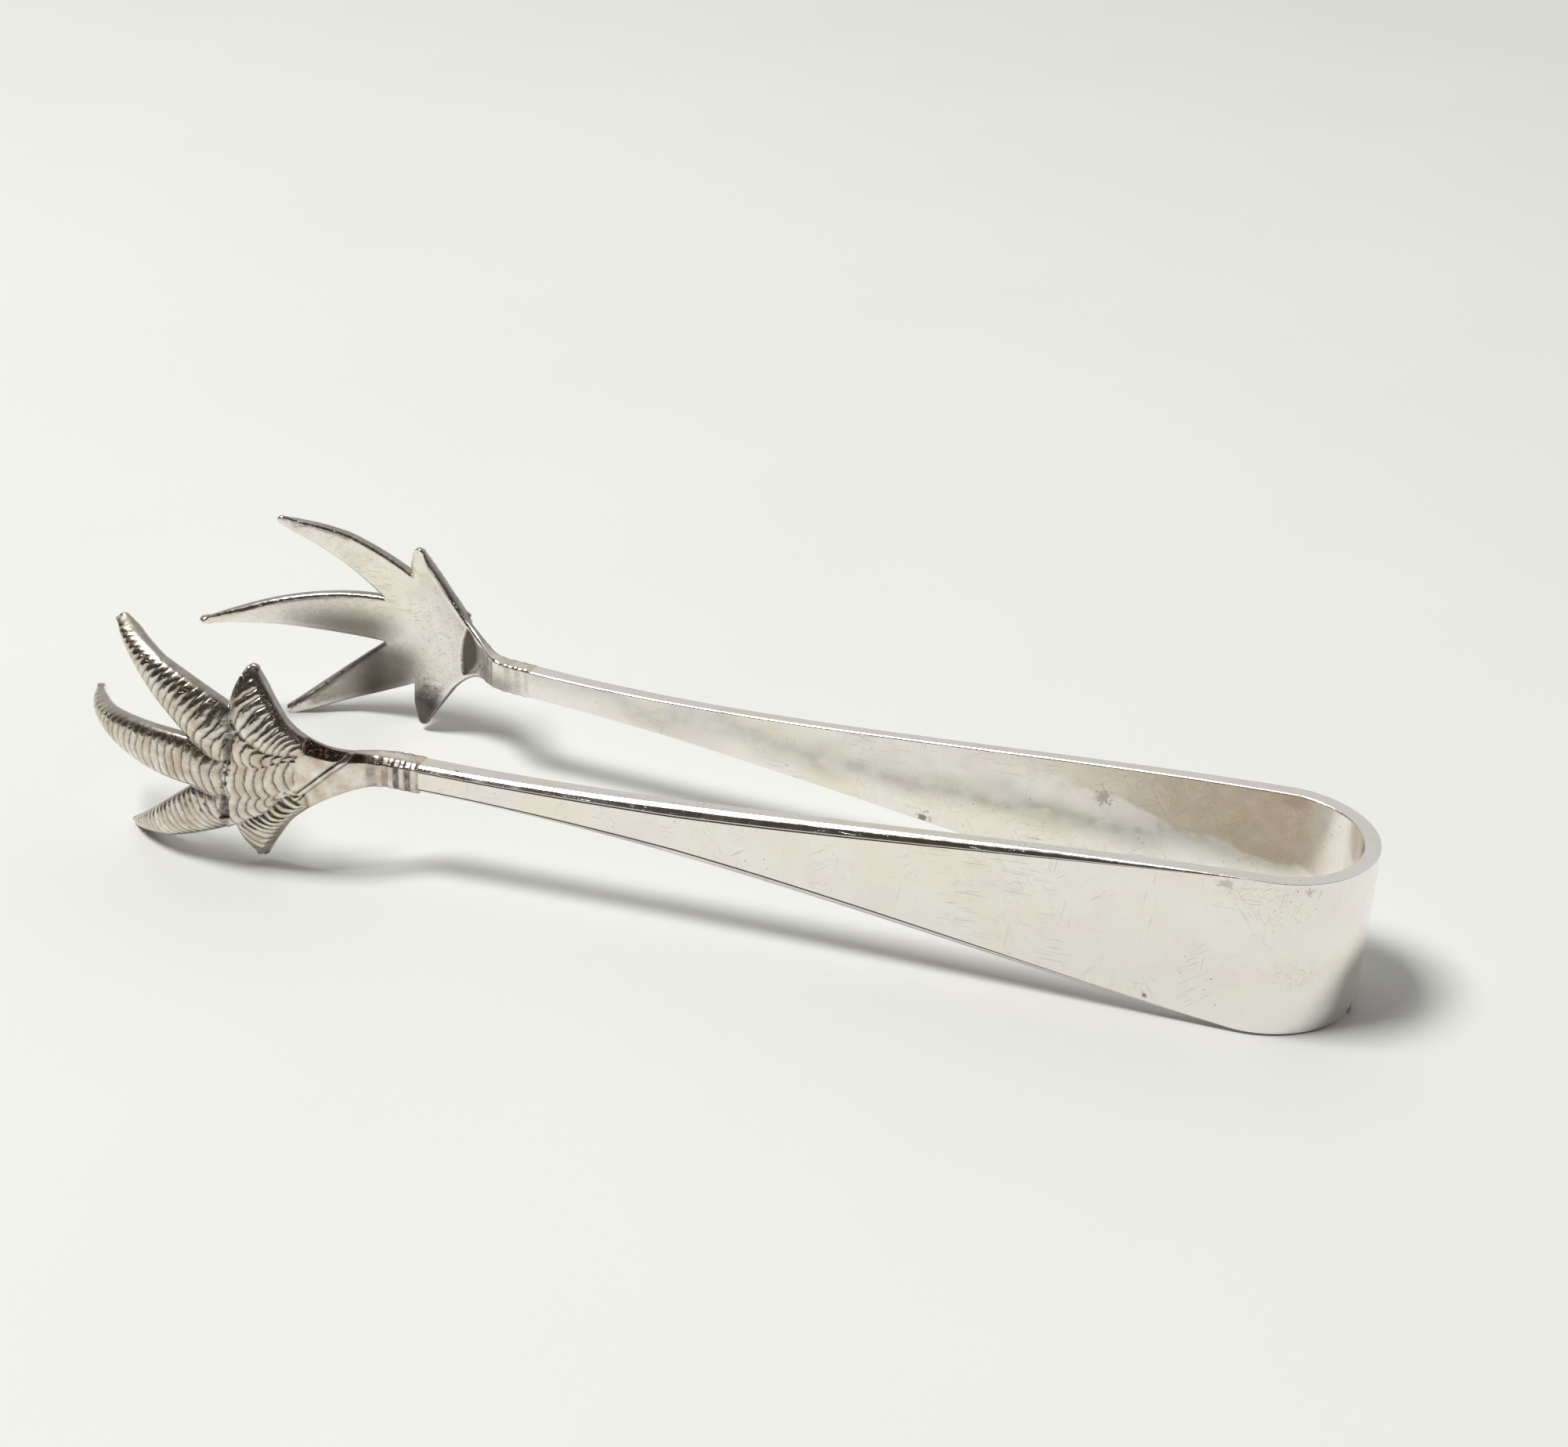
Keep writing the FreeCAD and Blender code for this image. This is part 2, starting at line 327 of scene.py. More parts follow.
def strip_attributes(stations):
    """For each point of a loft: depth as a share of the thickness, and 1 in the fine cut lines."""
    inward = np.concatenate([outline[:, 0] / outline[:, 0].max() for _, _, outline in stations])
    per_corner = ROUNDING_STEPS + 3
    in_cut = np.zeros(2 * STRIP_CORNERS)
    in_cut[[CUT_CORNER, -1 - CUT_CORNER]] = 1
    in_cut = np.roll(in_cut, STRIP_CORNERS)
    return {"inward": inward, "cut": np.tile(np.repeat(in_cut, per_corner), len(stations))}


def arm_station(distance):
    """Section of the far arm at a distance from the end of the U."""
    rise = outer_offset(distance + SLOPE_STEP) - outer_offset(distance - SLOPE_STEP)
    slope = rise / (2 * SLOPE_STEP)
    angle = np.arctan(slope)
    half = hermite(STRIP_WIDTH, TAPER_START, NECK_WIDTH, 0.0, ARM_RUN, distance) / 2
    thickness = BOW_THICKNESS + (NECK_THICKNESS - BOW_THICKNESS) * distance / ARM_RUN
    part = distance / (ARM_RUN + 2 * FLEX_RUN)
    share = min(1.0, BEVEL_LEAST + BEVEL_GROWTH * part * (1 - part))
    base = (STRAIGHT_END_X - distance, outer_offset(distance))
    return base, (np.sin(angle), np.cos(angle)), strip_outline(half, thickness, share)


def outer_offset(distance):
    return hermite(STRAIGHT_END_Y, tan(BOW_SPLAY), NECK_OFFSET, tan(NECK_SPLAY), ARM_RUN, distance)


def make_arm(name, mirrored, material):
    """The strip from the end of the U to the neck."""
    inner = np.arange(STATION_STEP, ARM_RUN - STATION_STEP / 2, STATION_STEP)
    distances = [0.0, SEAM_STEP, *inner, ARM_RUN - SEAM_STEP, ARM_RUN]
    stations = [arm_station(distance) for distance in distances]
    points, faces = loft(stations)
    faces = [tuple(reversed(face)) for face in faces]
    piece = add_piece(name, points, faces, mirrored, strip_attributes(stations), material)
    mark_caps(piece)
    return piece


def make_bow(material):
    """The U of the strip, between the ends of the two arms."""
    half_turn = radians(90) - BOW_SPLAY
    seam_turn = SEAM_STEP / BOW_RADIUS
    inner = np.linspace(-half_turn, half_turn, BOW_STEPS)[1:-1]
    turns = [-half_turn, -half_turn + seam_turn, *inner, half_turn - seam_turn, half_turn]
    outline = strip_outline(STRIP_WIDTH / 2, BOW_THICKNESS, BEVEL_LEAST)
    stations = []
    for turn in turns:
        normal = (cos(turn), sin(turn))
        base = (-BOW_RADIUS + BOW_RADIUS * normal[0], BOW_RADIUS * normal[1])
        stations.append((base, normal, outline))
    points, faces = loft(stations)
    faces = [tuple(reversed(face)) for face in faces]
    piece = add_piece("bow_band", points, faces, False, strip_attributes(stations), material)
    mark_caps(piece)
    return piece


# ---------------------------------------------------------------- claw

def cross_curve_at(angle):
    angles = [pair[0] for pair in reversed(CROSS_CURVES)]
    curves = [pair[1] for pair in reversed(CROSS_CURVES)]
    return np.interp(np.degrees(angle), angles, curves)


def spine_turn(start, radius, end, end_thickness, outward):
    """Fine stations round one arc of the claw's path: length, X, Y, angle, thickness, curve."""
    side = -1 if outward else 1
    share = np.linspace(0, 1, SPINE_STEPS + 1)[1:]
    angle = start[3] + (end - start[3]) * share
    curve = cross_curve_at(angle) * (share if outward else 1)
    return np.stack([start[0] + radius * np.abs(angle - start[3]),
                     start[1] - side * radius * (np.sin(start[3]) - np.sin(angle)),
                     start[2] + side * radius * (np.cos(angle) - np.cos(start[3])),
                     angle,
                     start[4] + (end_thickness - start[4]) * share,
                     curve], axis=1)


def spine_table():
    """Fine stations of the claw's outer face, from the neck to the middle toe's tip."""
    neck = np.array([0, NECK_X, NECK_OFFSET, NECK_SPLAY, NECK_THICKNESS, 0])
    run_end = neck + np.array([SHANK_RUN, -SHANK_RUN * cos(NECK_SPLAY), SHANK_RUN * sin(NECK_SPLAY),
                               0, 0, 0])
    bend = spine_turn(run_end, NECK_BEND_RADIUS, PALM_ANGLE, PALM_THICKNESS, True)
    palm = spine_turn(bend[-1], PALM_RADIUS, CURL_ANGLE, PALM_THICKNESS, False)
    curl = spine_turn(palm[-1], CURL_RADIUS, TOE_TIP_ANGLE, TOE_TIP_THICKNESS, False)
    return np.concatenate([[neck], [run_end], bend, palm, curl])


def on_spine(length):
    """X, Y, angle, thickness and cross curve at lengths along the claw's outer face."""
    return [np.interp(length, SPINE[:, 0], SPINE[:, column]) for column in range(1, 6)]


def outer_x(length, height):
    """X of the outer face where it has the given length along the claw and height."""
    x, _, angle, _, curve = on_spine(length)
    return x - curve * height ** 2 * np.sin(angle)


def length_at(x, height):
    """Length along the claw of the outer face's point with the given X and height."""
    across = SPINE[:, 1] - SPINE[:, 5] * height ** 2 * np.sin(SPINE[:, 3])
    return np.interp(-x, -across, SPINE[:, 0])


def arc_points(start, middle, end, step=OUTLINE_STEP):
    """Points along the arc through three points, without the last one."""
    a, b, c = np.array(start), np.array(middle), np.array(end)
    rows = 2 * np.array([b - a, c - a])
    centre = np.linalg.solve(rows, np.array([b @ b - a @ a, c @ c - a @ a]))
    angles = np.unwrap([atan2(*(point - centre)[::-1]) for point in (a, b, c)])
    radius = np.linalg.norm(a - centre)
    count = max(2, int(abs(angles[2] - angles[0]) * radius / step))
    turns = np.linspace(angles[0], angles[2], count + 1)[:-1]
    return centre + radius * np.stack([np.cos(turns), np.sin(turns)], axis=1)


def line_points(start, end):
    """Points along a straight line, without the last one."""
    a, b = np.array(start), np.array(end)
    count = max(1, int(np.linalg.norm(b - a) / OUTLINE_STEP))
    return a + (b - a) * np.linspace(0, 1, count + 1)[:-1, None]


def half_outline():
    """Points of the claw's outline above Z = 0, X and Z, from the neck to the middle toe's tip."""
    half_neck = NECK_WIDTH / 2
    shank = (NECK_X - SHANK_RUN, half_neck)
    return np.concatenate([
        line_points((NECK_X, half_neck), shank),
        arc_points(shank, SPUR_HEEL, SPUR_BACK),
        line_points(SPUR_BACK, SPUR_TIP_BACK),
        arc_points(SPUR_TIP_BACK, SPUR_TIP, SPUR_TIP_FRONT),
        arc_points(SPUR_TIP_FRONT, SPUR_FRONT, NOTCH_SPUR_TOE),
        arc_points(NOTCH_SPUR_TOE, TOE_TOP, TOE_TIP_TOP),
        arc_points(TOE_TIP_TOP, TOE_TIP, TOE_TIP_BOTTOM),
        arc_points(TOE_TIP_BOTTOM, TOE_BOTTOM, NOTCH_TOES),
        arc_points(NOTCH_TOES, MIDDLE_TOE_SIDE, MIDDLE_TOE_TIP),
    ])


def whole_outline():
    upper = half_outline()
    tip = arc_points(MIDDLE_TOE_TIP, (MIDDLE_TOE_END, 0), (MIDDLE_TOE_TIP[0], -MIDDLE_TOE_TIP[1]))
    lower = upper[::-1] * np.array([1, -1])
    neck = line_points((NECK_X, -NECK_WIDTH / 2), (NECK_X, NECK_WIDTH / 2))[1:]
    return np.concatenate([upper, tip, [[MIDDLE_TOE_TIP[0], -MIDDLE_TOE_TIP[1]]], lower, neck])


def nearest(points, route):
    """Distance from each point to an open route, and how far along the route that is."""
    a, b = route[:-1], route[1:]
    run = b - a
    lengths = np.linalg.norm(run, axis=1)
    starts = np.concatenate([[0], np.cumsum(lengths)])[:-1]
    best = np.full(len(points), 1e9)
    along = np.zeros(len(points))
    for i in range(len(a)):
        part = np.clip((points - a[i]) @ run[i] / lengths[i] ** 2, 0, 1)
        away = np.linalg.norm(points - a[i] - part[:, None] * run[i], axis=1)
        closer = away < best
        best = np.where(closer, away, best)
        along = np.where(closer, starts[i] + part * lengths[i], along)
    return best, along


def inside(points, outline):
    """True for points inside a closed outline, by counting crossings."""
    crossed = np.zeros(len(points), bool)
    ends = np.roll(outline, -1, axis=0)
    for (ax, ay), (bx, by) in zip(outline, ends):
        if ay == by:
            continue
        spans = (points[:, 1] > ay) != (points[:, 1] > by)
        reach = ax + (points[:, 1] - ay) * (bx - ax) / (by - ay)
        crossed ^= spans & (points[:, 0] < reach)
    return crossed


def fill_outline(outline, step):
    """Triangles over a closed outline, with inner points about step apart in even rows."""
    low, high = outline.min(axis=0), outline.max(axis=0)
    rows = np.arange(low[1], high[1], step * 0.866)
    grid = []
    for i, height in enumerate(rows):
        across = np.arange(low[0] + (i % 2) * step / 2, high[0], step)
        grid.append(np.stack([across, np.full(len(across), height)], axis=1))
    grid = np.concatenate(grid)
    grid = grid[inside(grid, outline)]
    away, _ = nearest(grid, np.concatenate([outline, outline[:1]]))
    grid = grid[away > step * 0.6]
    flat = [Vector(point) for point in np.concatenate([outline, grid])]
    count = len(outline)
    border = [(i, (i + 1) % count) for i in range(count)]
    made = delaunay_2d_cdt(flat, border, [], 1, 1e-6)
    points = np.array([point[:] for point in made[0]])
    origins = [origin[0] for origin in made[3]]
    place_of = {origin: i for i, origin in enumerate(origins)}
    ring = [place_of[i] for i in range(count)]
    return points, [tuple(face) for face in made[2]], ring


def near_tip(x, z, reach):
    """1 at the tips of the toes and spurs, falling to 0 at the given reach."""
    points = np.stack([x, np.abs(z)], axis=1)
    away = np.minimum.reduce([np.linalg.norm(points - tip, axis=1)
                              for tip in ((MIDDLE_TOE_END, 0), TOE_TIP, SPUR_TIP)])
    return smooth_step(reach, 0, away)


def scale_profile(phase):
    """Height of one scale along its length, from 0 at the groove to 1, with a thin raised lip."""
    part = phase - np.floor(phase)
    roll = np.sin(pi * part ** 1.15) ** 0.7
    lip = LIP_HEIGHT * np.exp(-((part - LIP_PLACE) / LIP_WIDTH) ** 2)
    return roll * 0.85 + lip


def groove_at(phase):
    """1 in the groove between two scales, falling to 0 beside it."""
    part = phase - np.floor(phase)
    away = np.minimum(part, 1 - part)
    return np.exp(-(away / GROOVE_WIDTH) ** 2)


class Relief:
    """Heights, tarnish and painted shade of the claw's outer side, gathered region by region."""

    def __init__(self, x, z):
        self.x = x
        self.z = z
        dip = PALM_DIP * smooth_step(*DIP_TOE_SIDE, x) * smooth_step(*DIP_SHANK_SIDE, x)
        level = z + dip * smooth_step(*DIP_HEIGHT, np.abs(z))
        self.points = np.stack([x, np.abs(level)], axis=1)
        self.past_knuckle = x - KNUCKLE_X - KNUCKLE_LEAN * z
        self.edge, _ = nearest(np.stack([x, np.abs(z)], axis=1), half_outline())
        self.height = np.zeros(len(x))
        self.dark = np.zeros(len(x))
        self.brown = np.zeros(len(x))
        self.taken = np.zeros(len(x), bool)

    def band(self, region, axis, edge_a, edge_b, bulge, pitch, crown, depth, is_prong, rim=0.01):
        """Scales along one band, between its two edges. A prong's scales fade at edges and tip.

        bulge is how far the scales bow along the band, in scales; crown is the height of the band's
        smooth rise, depth that of a scale, and rim the width of a plain strip along edge_b.
        """
        away_a, _ = nearest(self.points, edge_a)
        away_b, _ = nearest(self.points, edge_b)
        across = (away_a - away_b) / np.maximum(away_a + away_b, 1e-6)
        _, along = nearest(self.points, axis)
        total = np.linalg.norm(np.diff(axis, axis=0), axis=1).sum()
        hollow = np.clip(1 - across ** 2, 0, 1)
        uneven = sum(share * ripple(self.x, self.z, length, seed)
                     for share, length, seed in PHASE_RIPPLES)
        phase = pitch(along) - bulge * hollow + uneven
        end = smooth_step(0.4, 2.0, total - along) if is_prong else 1.0
        span = np.clip((away_a + away_b) / 2.4, 0.35, 1)
        side_fade = np.clip(1 - np.abs(across) ** 2.5, 0, 1) if is_prong else 1.0
        inside_rim = smooth_step(0.4 * rim, rim, away_b)
        strength = depth * end * span * side_fade * inside_rim
        profile = scale_profile(phase)
        height = crown * hollow * smooth_step(-1, 4, along) + strength * profile
        # tarnish in the grooves, plus painted shade that darkens the low parts between the scales
        shade = 0.62 * groove_at(phase) + 0.5 * np.clip(0.85 - profile, 0, 1)
        dark = shade * (0.3 + 0.7 * end) * inside_rim + 0.1 * (1 - inside_rim)
        valley = PRONG_VALLEY if is_prong else 0
        beside = valley * smooth_step(0.75, 1.0, np.abs(across)) * inside_rim
        new = region & ~self.taken
        self.height = np.where(new, height, self.height)
        self.dark = np.where(new, np.maximum(dark, beside), self.dark)
        self.taken |= new


def evenly(start_pitch, end_pitch, run):
    """Number of scales passed at a distance along a band whose pitch changes evenly."""
    def passed(along):
        part = np.clip(along / run, 0, 1)
        return run * (part / start_pitch + part ** 2 / 2 * (1 / end_pitch - 1 / start_pitch))
    return passed


def add_toes(relief):
    """Scales of the three toes, each from the knuckle line to its tip."""
    x, height = relief.x, relief.points[:, 1]
    toes = relief.past_knuckle < 0
    root = (KNUCKLE_X, BAND_EDGE)
    middle_edge = np.concatenate([
        line_points(root, NOTCH_TOES),
        arc_points(NOTCH_TOES, MIDDLE_TOE_SIDE, MIDDLE_TOE_TIP), [[MIDDLE_TOE_END, 0]]])
    other_edge = middle_edge * np.array([1, -1])
    middle_half = np.interp(-x, -middle_edge[:, 0], middle_edge[:, 1])
    clear = 0.25 * smooth_step(NOTCH_TOES[0] - 0.1, NOTCH_TOES[0] - 1.3, x)
    middle = toes & (height <= middle_half + clear)
    middle_axis = np.array([(KNUCKLE_X, 0), (MIDDLE_TOE_END, 0)])
    relief.band(middle, middle_axis, middle_edge, other_edge, bulge=0.45,
                pitch=evenly(1.3, 1.05, 26.8), crown=0.5, depth=0.26, is_prong=True)
    lower_edge = np.concatenate([
        line_points(root, NOTCH_TOES),
        arc_points(TOE_TIP_BOTTOM, TOE_BOTTOM, NOTCH_TOES)[::-1]])
    upper_edge = np.concatenate([
        [(KNUCKLE_X + 0.7, 6.6)], arc_points(NOTCH_SPUR_TOE, TOE_TOP, TOE_TIP_TOP), [TOE_TIP]])
    axis = np.concatenate([arc_points((-132.6, 4.3), (-143.2, 10.2), TOE_TIP, 0.8), [TOE_TIP]])
    relief.band(toes & ~middle, axis, lower_edge, upper_edge, bulge=0.6,
                pitch=evenly(1.15, 0.85, 21.4), crown=0.55, depth=0.34, is_prong=True)


def add_spurs(relief):
    """Scales of the two short spurs, from the heel to the tip."""
    x, height = relief.x, relief.points[:, 1]
    inner_edge = np.concatenate([
        SPUR_INNER, [NOTCH_SPUR_TOE], arc_points(SPUR_TIP_FRONT, SPUR_FRONT, NOTCH_SPUR_TOE)[::-1]])
    border = SPUR_INNER + [NOTCH_SPUR_TOE]
    border_height = np.interp(-x, [-point[0] for point in border], [point[1] for point in border])
    region = (relief.past_knuckle > -1.2) & (x < SPUR_INNER[0][0] + 0.6) & (height > border_height)
    rear_edge = np.concatenate([
        [(-123.6, 4.2)], line_points(SPUR_BACK, SPUR_TIP_BACK), [SPUR_TIP_BACK], [SPUR_TIP]])
    axis = np.array([(-124.3, 3.6), (-131.0, 12.8)])
    relief.band(region, axis, inner_edge, rear_edge, bulge=0.55, pitch=evenly(0.8, 1.3, 11.4),
                crown=0.45, depth=0.36, is_prong=True, rim=SPUR_RIM)


def add_palm(relief):
    """Wavy rows of scales across the palm, in a middle band and one band at each side."""
    x, height = relief.x, relief.points[:, 1]
    scales_end = SCALES_END + 0.065 * np.maximum(relief.z, 0) ** 2
    palm = (relief.past_knuckle >= 0) & (x < scales_end)
    edge_in = np.array([(KNUCKLE_X - 1, BAND_EDGE), (SCALES_END + 1, BAND_EDGE - 0.5)])
    edge_out = np.array([(KNUCKLE_X, 8.5), *reversed(SPUR_INNER)])
    axis = np.array([(SCALES_END + 0.6, 0), (KNUCKLE_X - 2, 0)])
    pitch = evenly(1.16, 1.2, 10.7)
    middle = palm & (height <= BAND_EDGE - 0.04 * relief.past_knuckle)
    relief.band(middle, axis, edge_in, edge_in * np.array([1, -1]), bulge=0.5, pitch=pitch,
                crown=0.07, depth=0.24, is_prong=False)
    relief.band(palm & ~middle, axis, edge_in, edge_out, bulge=0.62, pitch=pitch,
                crown=0.1, depth=0.24, is_prong=False)


def add_knuckle(relief):
    """Joint line between palm and toes: two sunk plates and a row of rough lumps between them."""
    x, height = relief.x, relief.points[:, 1]
    wander = 0.2 * ripple(x, relief.z, 5.0, 1.0)
    away = np.abs(relief.past_knuckle + wander) / KNUCKLE_HALF
    column = np.exp(-away ** 6)
    plate = column * smooth_step(2.2, 2.5, height) * smooth_step(6.3, 5.9, height)
    lumps = column * smooth_step(2.5, 2.0, height)
    wall = column * smooth_step(6.0, 6.4, height)
    relief.height -= KNUCKLE_SINK * plate
    relief.height += 0.12 * lumps * ripple(x, relief.z, 0.8, 3.0) - 0.08 * lumps
    relief.dark = np.maximum(relief.dark, plate)
    relief.dark = np.maximum(relief.dark, wall * 0.55)
    relief.dark = np.maximum(relief.dark, lumps * (0.35 + 0.3 * ripple(x, relief.z, 0.9, 4.0)))


def add_edges(relief):
    """The struck side rounds down to the rim, and the shank has a plain facet along each edge."""
    x, height = relief.x, np.abs(relief.z)
    scaled = smooth_step(SCALES_END + 1.5, SCALES_END + 0.7, x)
    part = np.clip((EDGE_ROUND_WIDE - relief.edge) / EDGE_ROUND_WIDE, 0, 1)
    rounded = EDGE_ROUND_DEEP * (1 - np.sqrt(1 - part ** 2 * 0.98))
    rounded = rounded * (1 - 0.6 * near_tip(x, relief.z, TIP_REACH))
    facet_wide = np.interp(-x, FACET_RUN, FACET_WIDE)
    facet_deep = np.interp(-x, FACET_RUN, FACET_DEEP)
    facet = facet_deep * np.clip((facet_wide - relief.edge) / facet_wide, 0, 1)
    facet = np.where(relief.z < 0, LOWER_FACET * facet, facet)
    relief.height -= np.where(scaled > 0.5, rounded, facet)
    on_facet = (1 - scaled) * smooth_step(0.0, 0.08, facet)
    # painted brown reflection on the shank's upper facet
    relief.brown = on_facet * smooth_step(-117.4, -118.2, x) * smooth_step(-0.5, 0.5, relief.z)
    step_line = np.exp(-((x - STEP_X) / 0.2) ** 2) * smooth_step(2.4, 3.0, height)
    relief.dark = np.maximum(relief.dark, 0.6 * step_line)
    relief.dark = np.maximum(relief.dark, 0.45 * scaled * smooth_step(0.4, 0.1, relief.edge))


def add_seam(relief):
    """Raised diagonal line across the shank, with a fine cut beside it."""
    away, _ = nearest(np.stack([relief.x, relief.z], axis=1), np.array(SEAM_ROUTE))
    line = np.exp(-(away / 0.24) ** 4)
    cut = np.exp(-((away - 0.38) / 0.1) ** 2)
    fresh = smooth_step(SCALES_END - 0.3, SCALES_END + 0.2, relief.x)
    relief.height += fresh * (0.1 * line - 0.07 * cut)
    relief.dark = np.maximum(relief.dark * (1 - line), fresh * cut * 0.8)
    relief.brown = relief.brown * (1 - line)


def ring_at(length):
    """1 on a ring of the collar and 0 between rings, at a length along the shank."""
    total = 0
    for i in range(RING_COUNT):
        middle = RING_FIRST + RING_PITCH * i + RING_LENGTH / 2
        total = total + np.exp(-((length - middle) / (RING_LENGTH * 0.46)) ** 6)
    return total


def add_collar(relief, length):
    """Rings round the shank at the neck, with tarnish left between them."""
    ring = ring_at(length)
    collar = smooth_step(6.9, 6.5, length)
    relief.height += RING_PROUD * ring
    gap = np.clip(1 - ring, 0, 1) * collar
    deep = smooth_step(0.9, 1.2, length) * smooth_step(4.4, 3.6, length)
    patch = smooth_step(-0.5, 0.3, ripple(relief.x, relief.z, 1.4, 6.0))
    relief.dark = np.maximum(relief.dark, gap * (0.35 + 0.15 * patch + 0.5 * deep))
    relief.brown = relief.brown * (1 - ring)


def outer_relief(length, z):
    """Height, darkening (tarnish and painted shade) and painted facet reflection of the outer side at points
    of the claw.
    """
    relief = Relief(outer_x(length, z), z)
    add_toes(relief)
    add_spurs(relief)
    add_palm(relief)
    add_knuckle(relief)
    add_edges(relief)
    add_seam(relief)
    add_collar(relief, length)
    return relief


def scoop_at(x, z):
    """1 inside the lens-shaped scoop at the inner bend, and the share of the way across it."""
    left = -124.2 + 0.08 * (z + 1.0) ** 2
    right = -119.5 - 0.27 * z ** 2
    inside_lens = smooth_step(0.0, 0.15, x - left) * smooth_step(0.0, 0.15, right - x)
    return inside_lens, np.clip((x - left) / np.maximum(right - left, 0.1), 0, 1)


def inner_side(length, z):
    """Height and darkening of the plain inner side: rounded edges, a scoop that is darker inside, and
    painted dark reflections.
    """
    x = outer_x(length, z)
    edge, _ = nearest(np.stack([x, np.abs(z)], axis=1), half_outline())
    part = np.clip((INNER_ROUND_WIDE - edge) / INNER_ROUND_WIDE, 0, 1)
    tip = near_tip(x, z, TIP_REACH)
    rounded = INNER_ROUND_DEEP * (1 - np.sqrt(1 - part ** 2 * 0.98)) * (1 - 0.6 * tip)
    rounded = rounded * smooth_step(-117.5, -122, x) + TIP_THINNING * tip
    scoop, across_scoop = scoop_at(x, z)
    height = -on_spine(length)[3] + rounded + SCOOP_DEPTH * scoop - INNER_RING_PROUD * ring_at(length)
    dark = scoop * (0.95 - 0.7 * smooth_step(0.6, 0.95, across_scoop))
    # painted dark reflections, laid on the inner side as darkening
    for strength, fades in INNER_DARK_REFLECTIONS:
        reflection_dark = strength * (0.9 + 0.1 * ripple(x, z, 11.0, 2.5))
        for axis, start, end in fades:
            reflection_dark = reflection_dark * smooth_step(start, end, x if axis == "x" else z)
        dark = np.maximum(dark, reflection_dark)
    return height, np.clip(dark, 0, 1)


def claw_points(length, z, height):
    """Points of the far claw, height millimetres out from its outer reference face."""
    x, y, angle, _, curve = on_spine(length)
    out = height - curve * z ** 2
    return np.stack([x + out * np.sin(angle), y + out * np.cos(angle), z], axis=1)


def rim_directions(outline):
    """Direction out of the outline at each of its points, as parts along the claw and along Z."""
    run = np.roll(outline, -1, axis=0) - np.roll(outline, 1, axis=0)
    run /= np.maximum(np.linalg.norm(run, axis=1), 1e-9)[:, None]
    return np.stack([run[:, 1], -run[:, 0]], axis=1)


class PointSet:
    """Points with their attributes, gathered for one mesh."""

    def __init__(self):
        self.points = []
        self.attributes = {"dark": [], "brown": [], "struck": []}
        self.count = 0

    def add(self, points, **values):
        """Adds points, with an attribute for each or for all, and returns their numbers."""
        first = self.count
        self.points.append(points)
        self.count += len(points)
        for key, value in values.items():
            self.attributes[key].append(np.broadcast_to(value, len(points)))
        return np.arange(first, self.count)


def rim_rows(outline, top, bottom):
    """Rows of points round the claw's rim, between its outer and its inner side."""
    length, z = outline[:, 0], outline[:, 1]
    out = rim_directions(outline)
    angle = on_spine(length)[2]
    for i in range(1, RIM_RINGS):
        part = i / RIM_RINGS
        swell = RIM_BULGE * sin(pi * part) + RING_PROUD * ring_at(length)
        swell = np.where(length < NECK_END, 0, swell)
        row = claw_points(length, z, top + (bottom - top) * part)
        row[:, 0] -= swell * out[:, 0] * np.cos(angle)
        row[:, 1] += swell * out[:, 0] * np.sin(angle)
        row[:, 2] += swell * out[:, 1]
        yield row


def make_claw_mesh():
    """Points, faces and attributes of the far claw: struck outer side, rim and plain inner side."""
    outline = np.array([(length_at(x, z), z) for x, z in whole_outline()])
    ahead = np.roll(outline, -1, axis=0)
    if np.sum(outline[:, 0] * ahead[:, 1] - ahead[:, 0] * outline[:, 1]) < 0:
        outline = outline[::-1]
    outer, outer_faces, outer_ring = fill_outline(outline, RELIEF_STEP)
    inner, inner_faces, inner_ring = fill_outline(outline, INNER_STEP)
    relief = outer_relief(outer[:, 0], outer[:, 1])
    inner_height, inner_dark = inner_side(inner[:, 0], inner[:, 1])

    made = PointSet()
    outer_numbers = made.add(claw_points(outer[:, 0], outer[:, 1], relief.height),
                             dark=relief.dark, brown=relief.brown, struck=1.0)
    inner_numbers = made.add(claw_points(inner[:, 0], inner[:, 1], inner_height),
                             dark=inner_dark, brown=0.0, struck=0.0)
    faces = list(outer_faces)
    faces += [tuple(int(inner_numbers[corner]) for corner in reversed(face)) for face in inner_faces]

    rim_dark = RIM_TARNISH * smooth_step(-116.5, -120, outer_x(outline[:, 0], outline[:, 1]))
    rings = [outer_numbers[outer_ring]]
    for row in rim_rows(outline, relief.height[outer_ring], inner_height[inner_ring]):
        rings.append(made.add(row, dark=rim_dark, brown=0.0, struck=0.5))
    rings.append(inner_numbers[inner_ring])
    for above, below in zip(rings, rings[1:]):
        after_above, after_below = np.roll(above, -1), np.roll(below, -1)
        faces += np.stack([after_above, above, below, after_below], axis=1).tolist()
    attributes = {key: np.concatenate(rows) for key, rows in made.attributes.items()}
    return np.concatenate(made.points), faces, attributes


# ---------------------------------------------------------------- materials

